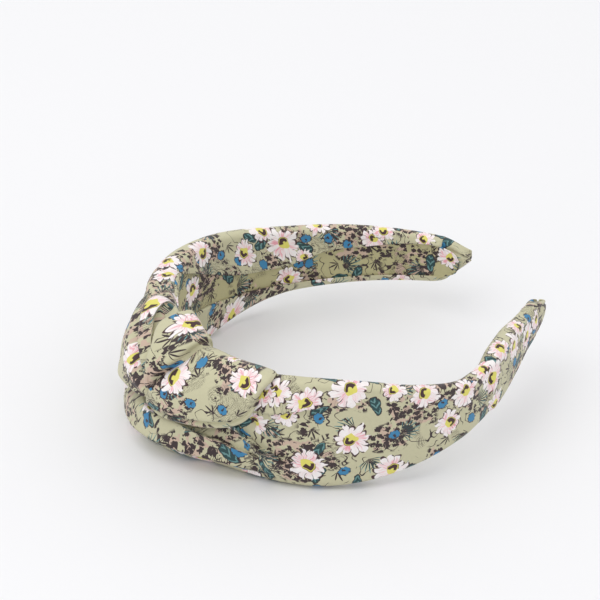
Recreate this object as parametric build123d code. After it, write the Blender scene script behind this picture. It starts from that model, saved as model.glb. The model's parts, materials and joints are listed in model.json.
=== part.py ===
from build123d import *
import os
from math import cos, radians, sin

# A knotted headband: a flexible plastic hoop wrapped in cloth, with a knot in the cloth at
# the crown. It lies on its lower edge. +X runs from the knot to the open end, +Z is up, and
# the origin is in the middle of the footprint, on the surface it rests on. Millimetres.

# ---- driving dimensions ----

# the hoop's middle line, seen from above: a round crown, then a flatter arc along each arm
CROWN_R = 65.4
CROWN_TURN = 107.0      # degrees from the crown's middle to the end of the crown arc
SIDE_R = 105.7
TIP_TURN = 146.0        # degrees from the crown's middle to the cloth's tip

# the band's height over the cloth, at the crown and along the tapering arms
BAND_H = 48.0
FULL_HEIGHT_TO = -44.0  # the band keeps its full height up to this distance along X
WAIST_X = 22.0
WAIST_H = 26.6
TIP_H = 20.4
TAPER_SLOPE = 0.06      # how fast the half height falls at the waist
TIP_ROUND = 10.0        # length of the rounded tip
TIP_BLUNT_H = 7.0       # height of the tip's blunt end

# layers, as distances from the hoop's middle line: outwards is positive
HOOP_T = 2.0
CLOTH_GAP = 0.3
OUTER_CLOTH_T = 2.0     # the outer cloth with its pleats
LINING_T = 0.9
EDGE_CLOTH_T = 1.5      # the cloth rolled over each edge
LINING_INSET = 4.0      # from the cloth's edge to the lining's edge
LINING_PLAY = 0.3

# where the arms flex: beside the knot
FLEX_TURN = 34.5
FLEX_GAP = 0.4          # degrees on each side of the flex line

# the tips
END_FOLD_TURN = 140.0   # the lining ends here and the end fold begins
END_FOLD_GAP = 0.1
HOOP_ROOM_TURN = 145.0  # the cloth is hollow to here
HOOP_END_TURN = 144.0

# the cloth gathered beside the knot, as distances out from the hoop's middle line
GATHER_RISE = {"far": (7.6, 6.6), "near": (6.0, 5.0)}   # at the flex line and half way
GATHER_END_TURN = {"far": 66.0, "near": 58.0}
GATHER_INSET = 4.0                  # from the band's edges
GATHER_FILLET = 2.0

# the knot, as heights over the rest surface and distances out from the hoop's middle line
KNOT_TURN = 33.0
KNOT_SPLIT_TURN = 0.5
KNOT_INNER = 3.7
WRAP_RISE = (22.6, 22.4, 14.0)      # at the middle, half way and at the far side
FLAP_RISE = (22.0, 17.0, 8.5)       # at the middle, half way and at the near side
UNDER_RISE = (6.0, 19.0, 14.0)      # at the near side, the middle and the far side
UNDER_TOP = 13.5
FLAP_BOTTOM = 13.8
DOME_FOOT = 14.0                    # the knot's bulge at the rest surface
DOME_BELLY = 22.6                   # its bulge at its fullest
DOME_BELLY_Z = 20.0
DOME_TOP = 7.0                      # its bulge at the band's upper edge
WRAP_TURNS = (3.0, 26.0)            # where the wrap passes over the band's upper edge
WRAP_TOP = 50.6
WRAP_OVER_GAP = 0.3
WRAP_INSIDE = 6.0                   # how far it comes down inside the band, inwards
WRAP_INSIDE_BOTTOM = 32.0
WRAP_FILLET = 1.5
CORE_TURN = 15.0
CORE_INNER = 4.1
CORE_OUTER = 13.0
CORE_BOTTOM = 9.0
CORE_TOP = 39.0
CORE_PLAY = 0.3
CORE_FILLET = 3.0

# the tacks that hold the core to the cloth behind it
TACK_T = 0.4
TACK_W = 1.0
TACK_L = 5.0
TACK_OUT = 3.5
TACK_TURNS = (-9.0, 9.0)
TACK_HEIGHTS = (16.0, 32.0)

# ---- derived dimensions ----

HALF_HOOP = HOOP_T / 2
INNER_SKIN = HALF_HOOP + CLOTH_GAP
OUTER_FACE = INNER_SKIN + OUTER_CLOTH_T
INNER_FACE = INNER_SKIN + LINING_T
HOOP_SHRINK = EDGE_CLOTH_T + CLOTH_GAP
MIDDLE_Z = BAND_H / 2
ARM_TURN = FLEX_TURN + FLEX_GAP
CROWN_END_TURN = FLEX_TURN - FLEX_GAP
LONG = 200.0            # longer than the object, for cutting blocks
OVERCUT = 1.0           # how far a cutting block runs past what it cuts, mm or degrees


def plan_point(turn, out, arm=1):
    """A point seen from above: turn in degrees from the crown's middle, out from the middle line."""
    if turn <= CROWN_TURN:
        centre_x, centre_y, radius = 0.0, 0.0, CROWN_R
    else:
        shift = SIDE_R - CROWN_R
        centre_x = shift * cos(radians(CROWN_TURN))
        centre_y = -shift * sin(radians(CROWN_TURN))
        radius = SIDE_R
    angle = radians(turn)
    x = centre_x - (radius + out) * cos(angle)
    y = centre_y + (radius + out) * sin(angle)
    return (x, arm * y)


def arc_along(start, end, out, arm):
    """The arc at a constant distance from the middle line, between two turns on one radius."""
    middle = (start + end) / 2
    return ThreePointArc(
        plan_point(start, out, arm), plan_point(middle, out, arm), plan_point(end, out, arm)
    )


def curve_along(start, end, out, arm):
    """One or two tangent arcs, split where the crown arc meets the side arc."""
    if start < CROWN_TURN < end:
        return [arc_along(start, CROWN_TURN, out, arm), arc_along(CROWN_TURN, end, out, arm)]
    return [arc_along(start, end, out, arm)]


def plan_strip(inner, outer, start, end, arm=1):
    """A C-shaped strip seen from above, between two distances and two turns."""
    edges = curve_along(start, end, outer, arm) + curve_along(start, end, inner, arm)
    edges.append(Line(plan_point(start, inner, arm), plan_point(start, outer, arm)))
    edges.append(Line(plan_point(end, inner, arm), plan_point(end, outer, arm)))
    return make_face(Wire(edges))


def block(plan, bottom=0.0, top=BAND_H):
    """A plan shape stood up between two heights."""
    return extrude(Pos(0, 0, bottom) * plan, top - bottom, dir=(0, 0, 1))


def side_outline(shrink=0.0):
    """The band's side outline, shrunk by a layer: full height, a taper, then a rounded tip."""
    full = BAND_H / 2 - shrink
    waist = WAIST_H / 2 - shrink
    tip = TIP_H / 2 - shrink
    blunt = TIP_BLUNT_H / 2
    end_x = plan_point(TIP_TURN, OUTER_FACE)[0]
    start = (-LONG, full)
    shoulder = (FULL_HEIGHT_TO, full)
    waist_point = (WAIST_X, waist)
    round_start = (end_x - TIP_ROUND, tip)
    round_end = (end_x, blunt - shrink / 2)
    round_middle = (end_x - TIP_ROUND / 3, (2 * tip + blunt) / 3)
    taper = Spline(shoulder, waist_point, tangents=((1, 0), (1, -TAPER_SLOPE)))
    upper = [
        Line(start, shoulder),
        taper,
        Line(waist_point, round_start),
        ThreePointArc(round_start, round_middle, round_end),
    ]
    lower = [edge.mirror(Plane.XZ) for edge in upper]
    ends = [Line(start, (start[0], -start[1])), Line(round_end, (round_end[0], -round_end[1]))]
    flat = make_face(Wire(upper + lower + ends))
    upright = Plane(origin=(0, 0, MIDDLE_Z), x_dir=(1, 0, 0), z_dir=(0, -1, 0))
    return extrude(upright * flat, LONG, both=True)


def band_piece(inner, outer, start, end, shrink, arm):
    """A strip of one layer of an arm, with the band's tapering height."""
    return block(plan_strip(inner, outer, start, end, arm)) & side_outline(shrink)


def crown_piece(inner, outer, end, shrink):
    """A strip of one layer of the crown, the same on both sides of its middle."""
    face = plan_strip(inner, outer, -end, end)
    return block(face, shrink, BAND_H - shrink)


def hoop_arm(arm):
    """The hoop's flexible arm, from the flex line to just inside the cloth's tip."""
    return band_piece(-HALF_HOOP, HALF_HOOP, ARM_TURN, HOOP_END_TURN, HOOP_SHRINK, arm)


def sock(arm, start, end):
    """The cloth sleeve round an arm, between two turns, hollow where the hoop runs."""
    skin = band_piece(-INNER_FACE, OUTER_FACE, start, end, 0.0, arm)
    inside = band_piece(-INNER_SKIN, INNER_SKIN, start - OVERCUT, HOOP_ROOM_TURN, EDGE_CLOTH_T, arm)
    return skin - inside


def front_edges(solid, height):
    """The edge of a block's outer face at one height."""
    level = [e for e in solid.edges() if abs(e.center().Z - height) < 0.01]
    level.sort(key=lambda e: (e @ 0.5).X ** 2 + (e @ 0.5).Y ** 2)
    return [level[-1]]


def gather(side, arm):
    """The cloth that stands out where it is gathered towards the knot."""
    rises = GATHER_RISE[side]
    end = GATHER_END_TURN[side]
    root = OUTER_FACE - CLOTH_GAP
    outer = ThreePointArc(
        plan_point(ARM_TURN, rises[0], arm),
        plan_point((ARM_TURN + end) / 2, rises[1], arm),
        plan_point(end, OUTER_FACE, arm),
    )
    edges = [
        outer,
        arc_along(ARM_TURN, end, root, arm),
        Line(plan_point(ARM_TURN, root, arm), plan_point(ARM_TURN, rises[0], arm)),
        Line(plan_point(end, root, arm), plan_point(end, OUTER_FACE, arm)),
    ]
    solid = block(make_face(Wire(edges)), GATHER_INSET, BAND_H - GATHER_INSET)
    for height in (GATHER_INSET, BAND_H - GATHER_INSET):
        solid = chamfer(front_edges(solid, height), GATHER_FILLET)
    return solid


def cover_arm(side, arm):
    """The outer cloth on an arm, rolled over both edges, open inside where the lining lies."""
    window = band_piece(
        -INNER_FACE - OVERCUT, 0.0, ARM_TURN - OVERCUT, END_FOLD_TURN + OVERCUT, LINING_INSET, arm
    )
    return sock(arm, ARM_TURN, END_FOLD_TURN - END_FOLD_GAP) + gather(side, arm) - window


def lining_arm(arm):
    """The lining on an arm: a strip that fills the window in the outer cloth."""
    shrink = LINING_INSET + LINING_PLAY
    return band_piece(-INNER_FACE, -INNER_SKIN, ARM_TURN, END_FOLD_TURN - END_FOLD_GAP, shrink, arm)


def end_fold(arm):
    """The cloth tucked over an arm's tip."""
    return sock(arm, END_FOLD_TURN + END_FOLD_GAP, TIP_TURN)


def cover_crown():
    """The outer cloth behind the knot, rolled over both edges."""
    skin = crown_piece(-INNER_FACE, OUTER_FACE, CROWN_END_TURN, 0.0)
    inside = crown_piece(-INNER_SKIN, INNER_SKIN, CROWN_END_TURN + OVERCUT, EDGE_CLOTH_T)
    window = crown_piece(-INNER_FACE - OVERCUT, 0.0, CROWN_END_TURN + OVERCUT, LINING_INSET)
    return skin - inside - window


def knot_block(turns, rises, bottom, top):
    """A rounded block on the crown's outer face, its height out given at three turns."""
    start, middle, end = turns
    outer = ThreePointArc(
        plan_point(start, rises[0]), plan_point(middle, rises[1]), plan_point(end, rises[2])
    )
    inner = arc_along(start, end, KNOT_INNER, 1)
    sides = [
        Line(plan_point(start, KNOT_INNER), plan_point(start, rises[0])),
        Line(plan_point(end, KNOT_INNER), plan_point(end, rises[2])),
    ]
    return block(make_face(Wire([outer, inner] + sides)), bottom, top)


def knot_dome():
    """The knot's full outer shape, all the way round the crown's axis."""
    belly = CROWN_R + DOME_BELLY
    top = (CROWN_R + DOME_TOP, BAND_H)
    foot = (CROWN_R + DOME_FOOT, 0)
    edges = [
        ThreePointArc(foot, (belly, DOME_BELLY_Z), top),
        Line(top, (0, BAND_H)),
        Line((0, BAND_H), (0, 0)),
        Line((0, 0), foot),
    ]
    profile = Plane.XZ * make_face(Wire(edges))
    return revolve(profile, Axis.Z)


def core_hollow():
    """The space for the core inside the knot, open towards the cloth behind it."""
    turn = CORE_TURN + CORE_PLAY
    face = plan_strip(OUTER_FACE, CORE_OUTER + CORE_PLAY, -turn, turn)
    return block(face, CORE_BOTTOM - CORE_PLAY, CORE_TOP + CORE_PLAY)


def knot_core():
    """The bunched cloth inside the knot, with rounded edges."""
    core = block(plan_strip(CORE_INNER, CORE_OUTER, -CORE_TURN, CORE_TURN), CORE_BOTTOM, CORE_TOP)
    return fillet(core.edges().filter_by(Axis.Z), CORE_FILLET)


def knot_wrap():
    """The pleated loop over the far side of the knot."""
    turns = (KNOT_SPLIT_TURN, 15.0, KNOT_TURN)
    outside = knot_block(turns, WRAP_RISE, FLAP_BOTTOM, BAND_H) & knot_dome()
    start, end = WRAP_TURNS
    over = block(plan_strip(-WRAP_INSIDE, DOME_TOP, start, end), BAND_H + WRAP_OVER_GAP, WRAP_TOP)
    inner_face = -INNER_FACE - WRAP_OVER_GAP
    inside = block(plan_strip(-WRAP_INSIDE, inner_face, start, end), WRAP_INSIDE_BOTTOM, WRAP_TOP)
    root = block(plan_strip(OUTER_FACE + CLOTH_GAP, DOME_TOP, start, end), WRAP_INSIDE_BOTTOM, WRAP_TOP)
    hook = over + inside
    hook = fillet(hook.edges().filter_by(Axis.Z), WRAP_FILLET)
    return outside + hook + root - core_hollow()


def knot_flap():
    """The broad smooth loop over the near side of the knot."""
    turns = (-KNOT_SPLIT_TURN, -15.0, -KNOT_TURN)
    solid = knot_block(turns, FLAP_RISE, FLAP_BOTTOM, BAND_H)
    return (solid & knot_dome()) - core_hollow()


def knot_under_fold():
    """The layered cloth below the flap and the wrap."""
    turns = (-KNOT_TURN, 5.0, KNOT_TURN)
    solid = knot_block(turns, UNDER_RISE, 0.0, UNDER_TOP)
    return (solid & knot_dome()) - core_hollow()


def knot_tacks():
    """Four thread tacks between the core and the cloth behind it."""
    tacks = []
    for turn in TACK_TURNS:
        for height in TACK_HEIGHTS:
            x, y = plan_point(turn, TACK_OUT + TACK_T / 2)
            tack = Box(TACK_T, TACK_W, TACK_L)
            tacks.append(Pos(x, y, height) * Rot(0, 0, -turn) * tack)
    return Compound(tacks)


def build_nodes():
    """Every node by name, with the crown arc's centre at X = 0, Y = 0."""
    nodes = {
        "hoop_crown": crown_piece(-HALF_HOOP, HALF_HOOP, CROWN_END_TURN, HOOP_SHRINK),
        "cover_crown": cover_crown(),
        "lining_crown": crown_piece(
            -INNER_FACE, -INNER_SKIN, CROWN_END_TURN, LINING_INSET + LINING_PLAY
        ),
        "knot_core": knot_core(),
        "knot_tacks": knot_tacks(),
        "knot_wrap": knot_wrap(),
        "knot_flap": knot_flap(),
        "knot_under_fold": knot_under_fold(),
    }
    for side, arm in (("far", 1), ("near", -1)):
        nodes["hoop_" + side + "_arm"] = hoop_arm(arm)
        nodes["cover_" + side] = cover_arm(side, arm)
        nodes["lining_" + side] = lining_arm(arm)
        nodes["end_fold_" + side] = end_fold(arm)
    return nodes


def middle_along_x(shapes):
    """The middle of the whole object's length along X."""
    boxes = [shape.bounding_box() for shape in shapes]
    return (min(b.min.X for b in boxes) + max(b.max.X for b in boxes)) / 2


def main():
    os.makedirs("parts", exist_ok=True)
    nodes = build_nodes()
    shift = -middle_along_x(nodes.values())
    for name, shape in nodes.items():
        export_step(Pos(shift, 0, 0) * shape, "parts/" + name + ".step")
    flex_x, flex_y = plan_point(FLEX_TURN, 0.0)
    rest_x = plan_point(0.0, 0.5)[0]
    print("crown centre x", round(shift, 3))
    print("flex line", round(flex_x + shift, 3), round(flex_y, 3))
    print("rest point x", round(rest_x + shift, 3))


main()
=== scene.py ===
import json
import math

import bpy
import numpy as np
from bpy.props import FloatProperty, FloatVectorProperty, IntProperty, PointerProperty
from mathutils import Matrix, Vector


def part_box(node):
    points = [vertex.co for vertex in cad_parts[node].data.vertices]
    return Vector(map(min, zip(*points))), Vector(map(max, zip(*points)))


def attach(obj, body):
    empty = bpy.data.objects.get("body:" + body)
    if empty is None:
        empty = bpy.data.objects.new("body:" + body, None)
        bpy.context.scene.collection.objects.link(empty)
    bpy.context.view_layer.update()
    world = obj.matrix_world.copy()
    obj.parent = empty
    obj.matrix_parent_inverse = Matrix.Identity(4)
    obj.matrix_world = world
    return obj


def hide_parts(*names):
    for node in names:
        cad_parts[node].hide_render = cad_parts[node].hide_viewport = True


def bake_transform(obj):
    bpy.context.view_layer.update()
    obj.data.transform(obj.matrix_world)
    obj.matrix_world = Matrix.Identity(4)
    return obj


bl_info = {
    "name": "Knotted headband",
    "version": (1, 0, 0),
    "blender": (4, 5, 0),
    "location": "View3D > Sidebar > Headband",
    "description": "Makes the printed cloth, the knot and the finishes of a knotted headband",
    "category": "Add Mesh",
}

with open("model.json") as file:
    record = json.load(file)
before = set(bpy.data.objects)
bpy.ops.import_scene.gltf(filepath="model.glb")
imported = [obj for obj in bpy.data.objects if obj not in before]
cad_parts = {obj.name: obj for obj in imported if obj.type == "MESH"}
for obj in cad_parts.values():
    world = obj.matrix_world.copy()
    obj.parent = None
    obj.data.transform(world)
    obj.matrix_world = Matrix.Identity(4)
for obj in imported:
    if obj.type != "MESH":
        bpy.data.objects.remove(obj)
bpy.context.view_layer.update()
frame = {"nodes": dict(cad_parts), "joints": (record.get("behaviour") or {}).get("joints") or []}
MM = 0.001

# ---- the band's plan, from the frame: a round crown, then a flatter arc along each arm ----

FLEX = {joint["name"]: joint["pos_m"] for joint in frame["joints"]}
FLEX_TURN = 34.5
CROWN_R = FLEX["far_flex"][1] / math.sin(math.radians(FLEX_TURN)) / MM
CENTRE_X = FLEX["far_flex"][0] / MM + CROWN_R * math.cos(math.radians(FLEX_TURN))
CROWN_TURN = 107.0
SIDE_R = 105.7
MIDDLE_Z = FLEX["far_flex"][2] / MM
TIP_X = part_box("end_fold_far")[1].x / MM - CENTRE_X
SHOULDER_X = -44.0
WAIST_X = 22.0
FULL_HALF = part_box("cover_crown")[1].z / MM / 2
WAIST_HALF = 13.3
TIP_HALF = 10.2
TAPER_SLOPE = 0.06
TIP_ROUND = 10.0
BLUNT_HALF = 3.5
END_TURN = 140.0
FAR_AWAY = 9.0          # a daisy coordinate with no daisy near it


def place(turn, out, height):
    """Points in metres: turn in degrees from the crown's middle, far side positive, then mm."""
    turn, out, height = np.broadcast_arrays(
        np.asarray(turn, float), np.asarray(out, float), np.asarray(height, float)
    )
    size = np.abs(turn)
    on_crown = size <= CROWN_TURN
    shift = SIDE_R - CROWN_R
    split = math.radians(CROWN_TURN)
    angle = np.radians(size)
    reach = np.where(on_crown, CROWN_R, SIDE_R) + out
    x = np.where(on_crown, 0.0, shift * math.cos(split)) - reach * np.cos(angle)
    y = np.where(on_crown, 0.0, -shift * math.sin(split)) + reach * np.sin(angle)
    return np.stack([x + CENTRE_X, np.where(turn < 0, -y, y), height], -1) * MM


def run_along(turn):
    """Distance in mm along the band's middle line from the crown's middle."""
    size = np.abs(turn)
    on_crown = np.radians(np.minimum(size, CROWN_TURN)) * CROWN_R
    on_side = np.radians(np.maximum(size - CROWN_TURN, 0.0)) * SIDE_R
    return np.sign(turn) * (on_crown + on_side)


def half_height(turn):
    """Half the band's height in mm, full at the crown and tapering to the tip."""
    x = place(turn, 0.0, 0.0)[..., 0] / MM - CENTRE_X
    part = np.clip((x - SHOULDER_X) / (WAIST_X - SHOULDER_X), 0.0, 1.0)
    fall = part * part * (3.0 - 2.0 * part)
    slope = (part ** 3 - part ** 2) * (WAIST_X - SHOULDER_X)
    taper = FULL_HALF + (WAIST_HALF - FULL_HALF) * fall - TAPER_SLOPE * slope
    beyond = np.clip((x - WAIST_X) / (TIP_X - TIP_ROUND - WAIST_X), 0.0, 1.0)
    return taper - (WAIST_HALF - TIP_HALF) * beyond


def steps(value, *pairs):
    """A value read off a smooth line through (position, amount) pairs."""
    where = np.array([pair[0] for pair in pairs], float)
    amount = np.array([pair[1] for pair in pairs], float)
    spot = np.interp(value, where, np.arange(len(where)))
    return smooth_line(amount, spot)


def smooth_line(points, spot):
    """A smooth curve through the rows of points, read at fractional row numbers."""
    points = np.asarray(points, float)
    last = len(points) - 1
    low = np.clip(np.floor(spot).astype(int), 0, last - 1)
    part = np.clip(spot - low, 0.0, 1.0)
    part = part.reshape(part.shape + (1,) * (points.ndim - 1))
    here, there = points[low], points[low + 1]
    before = np.where((low == 0).reshape(part.shape), 2 * here - there, points[np.maximum(low - 1, 0)])
    after = np.where(
        (low == last - 1).reshape(part.shape), 2 * there - here, points[np.minimum(low + 2, last)]
    )
    lead, trail = (there - before) / 2, (after - here) / 2
    square, cube = part ** 2, part ** 3
    return (
        (2 * cube - 3 * square + 1) * here
        + (cube - 2 * square + part) * lead
        + (3 * square - 2 * cube) * there
        + (cube - square) * trail
    )


def edges(side, turn):
    """Heights of the cloth's upper and lower edges, which leave the plain taper arm by arm."""
    half = half_height(turn)
    top, bottom = MIDDLE_Z + half, MIDDLE_Z - half
    if side > 0:
        lift = steps(turn, (0, 0), (70, 0), (120, 0), (138, -0.6), (141, -1.2), (146, -4.8))
        foot = steps(turn, (0, 0), (40, -0.4), (60, -0.8), (75, -1.3), (112, -1.4), (130, -0.8),
                     (138, -0.2), (140.5, 1.2), (142.5, 5.0), (146, 11.0))
    else:
        lift = steps(turn, (0, -0.8), (8, -2.0), (36, -2.0), (43, -1.2), (58, -0.9), (70, -1.2),
                     (80, -2.0), (90, -2.6), (100, -3.5), (109, -3.6), (113, -3.4), (115, -1.8),
                     (119, -0.4), (126, -0.2), (131, -0.6), (135, -1.4), (140, -2.0), (143, -3.0),
                     (146, -5.2))
        foot = steps(turn, (0, 0.3), (14, 0.6), (24, 1.5), (36, 1.5), (48, 1.0), (75, 1.0),
                     (95, 0.6), (110, 1.0), (120, 0.9), (127, 1.3), (131, 1.8), (135, 3.0),
                     (140, 4.2), (143, 6.0), (146, 9.0))
    return top + lift, bottom + foot


def lean(side, turn):
    """How far the band stands outwards of its round line: the near arm's last third is straighter."""
    if side > 0:
        return np.zeros_like(turn)
    return steps(turn, (0, 0), (104, 0), (110, -0.9), (115, -2.0), (120, -3.0), (125, -3.4),
                 (130, -2.9), (135, -1.6), (140, 0.6), (143, 2.0), (146, 3.4))


def ramp(value, low, high):
    """0 below low, 1 above high and smooth between."""
    part = np.clip((value - low) / (high - low), 0.0, 1.0)
    return part * part * (3.0 - 2.0 * part)


def ripple(a, b, size):
    """The slight unevenness of soft cloth, in mm, the same every time."""
    waves = np.sin(a * 0.31 + b * 0.17) + np.sin(a * 0.13 - b * 0.29 + 1.7)
    return size * (waves + np.sin(a * 0.47 + b * 0.41 + 0.6)) / 3.0


# ---- making a sheet of cloth ----

def deselect():
    bpy.ops.object.select_all(action="DESELECT")


def sheet_grid(name, along, across, shape):
    """A grid shaped by shape(a, b), which gives points in metres and cloth coordinates in mm."""
    deselect()
    bpy.ops.mesh.primitive_grid_add(x_subdivisions=along, y_subdivisions=across, size=2.0)
    piece = bpy.context.object
    piece.name = name
    piece.data.name = name
    mesh = piece.data
    flat = np.zeros(len(mesh.vertices) * 3)
    mesh.vertices.foreach_get("co", flat)
    flat = flat.reshape(-1, 3)
    order = np.lexsort((flat[:, 0].round(6), flat[:, 1].round(6)))
    a, b = np.meshgrid(np.linspace(0.0, 1.0, along + 1), np.linspace(0.0, 1.0, across + 1))
    points, cloth = shape(a, b)
    placed = np.zeros_like(flat)
    placed[order] = points.reshape(-1, 3)
    mesh.vertices.foreach_set("co", placed.ravel())
    on_cloth = np.zeros((len(flat), 2))
    on_cloth[order] = cloth.reshape(-1, 2)
    corners = np.zeros(len(mesh.loops), int)
    mesh.loops.foreach_get("vertex_index", corners)
    layer = mesh.uv_layers[0]
    layer.name = "cloth"
    layer.data.foreach_set("uv", (on_cloth[corners] * MM).ravel())
    mesh.update()
    return piece, points, placed, on_cloth


def daisies(piece, placed, on_cloth, spots, fill=()):
    """Two maps that hold each face's place on its nearest daisy, and the daisy's own number."""
    mesh = piece.data
    centres = []
    for turn, out, height, size, angle in spots:
        target = place(turn, out, height)
        nearest = np.argmin(((placed - target) ** 2).sum(1))
        centres.append((*on_cloth[nearest], size / 2.0, angle))
    for across, along, size, angle in fill:
        apart = [math.hypot(along - c[0], across - c[1]) for c in centres]
        if min(apart, default=99.0) > (size + 15.0) / 2.0:
            centres.append((along, across, size / 2.0, angle))
    corners = np.zeros(len(mesh.loops), int)
    mesh.loops.foreach_get("vertex_index", corners)
    corner_uv = on_cloth[corners].reshape(-1, 4, 2)
    middle = corner_uv.mean(1)
    layers = [[], []]
    for number, (u, v, radius, angle) in enumerate(centres):
        apart = [
            min((math.hypot(u - c[0], v - c[1]) - radius * 1.3 - c[2] * 1.3 for c in layer), default=1.0)
            for layer in ([c for _, c in layers[0]], [c for _, c in layers[1]])
        ]
        chosen = 0 if apart[0] > 0.0 or apart[0] >= apart[1] else 1
        layers[chosen].append((number, (u, v, radius, angle)))
    for letter, members in zip("ab", layers):
        local = np.full((len(middle), 4, 2), FAR_AWAY)
        own = np.zeros(len(middle))
        best = np.full(len(middle), 1.3)
        for number, (u, v, radius, angle) in members:
            away = np.hypot(middle[:, 0] - u, middle[:, 1] - v) / radius
            mine = away < best
            best[mine] = away[mine]
            turn = math.radians(angle)
            du = (corner_uv[mine, :, 0] - u) / radius
            dv = (corner_uv[mine, :, 1] - v) / radius
            local[mine, :, 0] = du * math.cos(turn) + dv * math.sin(turn)
            local[mine, :, 1] = dv * math.cos(turn) - du * math.sin(turn)
            own[mine] = number + 1
        layer = mesh.uv_layers.new(name="daisy_" + letter)
        layer.data.foreach_set("uv", local.ravel())
        attribute = mesh.attributes.new("daisy_number_" + letter, "FLOAT", "FACE")
        attribute.data.foreach_set("value", own.astype(np.float32))
    return piece


def scattered(along, across, size=14.5):
    """Places for daisies on cloth that has none listed: (across, along, size, angle)."""
    places = []
    for row, v in enumerate(np.arange(across[0], across[1], 17.0)):
        for column, u in enumerate(np.arange(along[0], along[1], 21.0)):
            turn = (row * 137 + column * 79) % 360
            shift = 10.0 * (row % 2) + 3.0 * math.sin(turn)
            places.append((v + 3.0 * math.cos(turn), u + shift, size + math.sin(turn * 0.7), turn))
    return places


def wear(piece, material):
    """The piece is made of that material alone."""
    piece.data.materials.clear()
    piece.data.materials.append(material)


def finish_sheet(piece, thickness, material):
    """Gives the sheet its thickness, points its faces outwards and gives it its cloth."""
    deselect()
    piece.select_set(True)
    bpy.context.view_layer.objects.active = piece
    wall = piece.modifiers.new("thickness", "SOLIDIFY")
    wall.thickness = thickness * MM
    wall.offset = 0.0
    wall.use_even_offset = False
    bpy.ops.object.modifier_apply(modifier=wall.name)
    bpy.ops.object.mode_set(mode="EDIT")
    bpy.ops.mesh.select_all(action="SELECT")
    bpy.ops.mesh.normals_make_consistent(inside=False)
    bpy.ops.object.mode_set(mode="OBJECT")
    bpy.ops.object.shade_smooth()
    wear(piece, material)
    return piece


def surface_area(points):
    """The area in square metres of a grid of points."""
    side = points[:, 1:] - points[:, :-1]
    rise = points[1:] - points[:-1]
    return float(np.linalg.norm(np.cross(side[:-1], rise[:, :-1]), axis=-1).sum())


# ---- node helpers ----

class Wiring:
    """Short ways to add and join nodes in one node tree."""

    def __init__(self, tree):
        self.tree = tree

    def node(self, kind, settings=(), **sockets):
        node = self.tree.nodes.new(kind)
        for name, value in dict(settings).items():
            setattr(node, name, value)
        for name, value in sockets.items():
            self.feed(node.inputs[name.replace("_", " ")], value)
        return node

    def feed(self, socket, value):
        if isinstance(value, bpy.types.NodeSocket):
            self.tree.links.new(value, socket)
        else:
            socket.default_value = value

    def sum(self, how, a, b=0.0, c=0.0):
        node = self.tree.nodes.new("ShaderNodeMath")
        node.operation = how
        for socket, value in zip(node.inputs, (a, b, c)):
            self.feed(socket, value)
        return node.outputs[0]

    def vector(self, how, a, b=(0.0, 0.0, 0.0), scale=1.0, out=0):
        node = self.tree.nodes.new("ShaderNodeVectorMath")
        node.operation = how
        self.feed(node.inputs[0], a)
        self.feed(node.inputs[1], b)
        self.feed(node.inputs[3], scale)
        return node.outputs[out]

    def fade(self, value, low, high):
        """1 where value is under low, 0 over high."""
        node = self.node("ShaderNodeMapRange", {"interpolation_type": "SMOOTHSTEP"})
        for name, amount in (("Value", value), ("From Min", low), ("From Max", high)):
            self.feed(node.inputs[name], amount)
        node.inputs["To Min"].default_value = 1.0
        node.inputs["To Max"].default_value = 0.0
        return node.outputs[0]

    def rise(self, value, low, high):
        """0 where value is under low, 1 over high."""
        return self.sum("SUBTRACT", 1.0, self.fade(value, low, high))

    def both(self, *masks):
        result = masks[0]
        for mask in masks[1:]:
            result = self.sum("MULTIPLY", result, mask)
        return result

    def paint(self, under, over, mask):
        node = self.tree.nodes.new("ShaderNodeMix")
        node.data_type = "RGBA"
        self.feed(node.inputs[0], mask)
        self.feed(node.inputs[6], under)
        self.feed(node.inputs[7], over)
        return node.outputs[2]

    def noise(self, at, scale, detail=1.0, out="Fac"):
        node = self.node("ShaderNodeTexNoise", {"noise_dimensions": "2D"})
        self.feed(node.inputs["Vector"], at)
        node.inputs["Scale"].default_value = scale
        node.inputs["Detail"].default_value = detail
        return node.outputs[out]

    def cells(self, at, scale, randomness=1.0):
        node = self.node("ShaderNodeTexVoronoi", {"voronoi_dimensions": "2D"})
        self.feed(node.inputs["Vector"], at)
        node.inputs["Scale"].default_value = scale
        node.inputs["Randomness"].default_value = randomness
        return node

    def split(self, vector):
        return self.node("ShaderNodeSeparateXYZ", Vector=vector).outputs

    def channels(self, colour):
        return self.node("ShaderNodeSeparateColor", Color=colour).outputs


def new_group(name, inputs, outputs):
    """An empty shader node group with named sockets, and the wiring to fill it."""
    group = bpy.data.node_groups.new(name, "ShaderNodeTree")
    for socket, kind, value in inputs:
        made = group.interface.new_socket(socket, in_out="INPUT", socket_type="NodeSocket" + kind)
        if value is not None:
            made.default_value = value
    for socket, kind in outputs:
        group.interface.new_socket(socket, in_out="OUTPUT", socket_type="NodeSocket" + kind)
    wiring = Wiring(group)
    return group, wiring, wiring.node("NodeGroupInput").outputs, wiring.node("NodeGroupOutput").inputs


def linear(red, green, blue):
    """A display colour from 0 to 255 as the linear colour that shaders use."""
    def one(value):
        value /= 255.0
        return value / 12.92 if value <= 0.04045 else ((value + 0.055) / 1.055) ** 2.4
    return (one(red), one(green), one(blue), 1.0)


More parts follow.
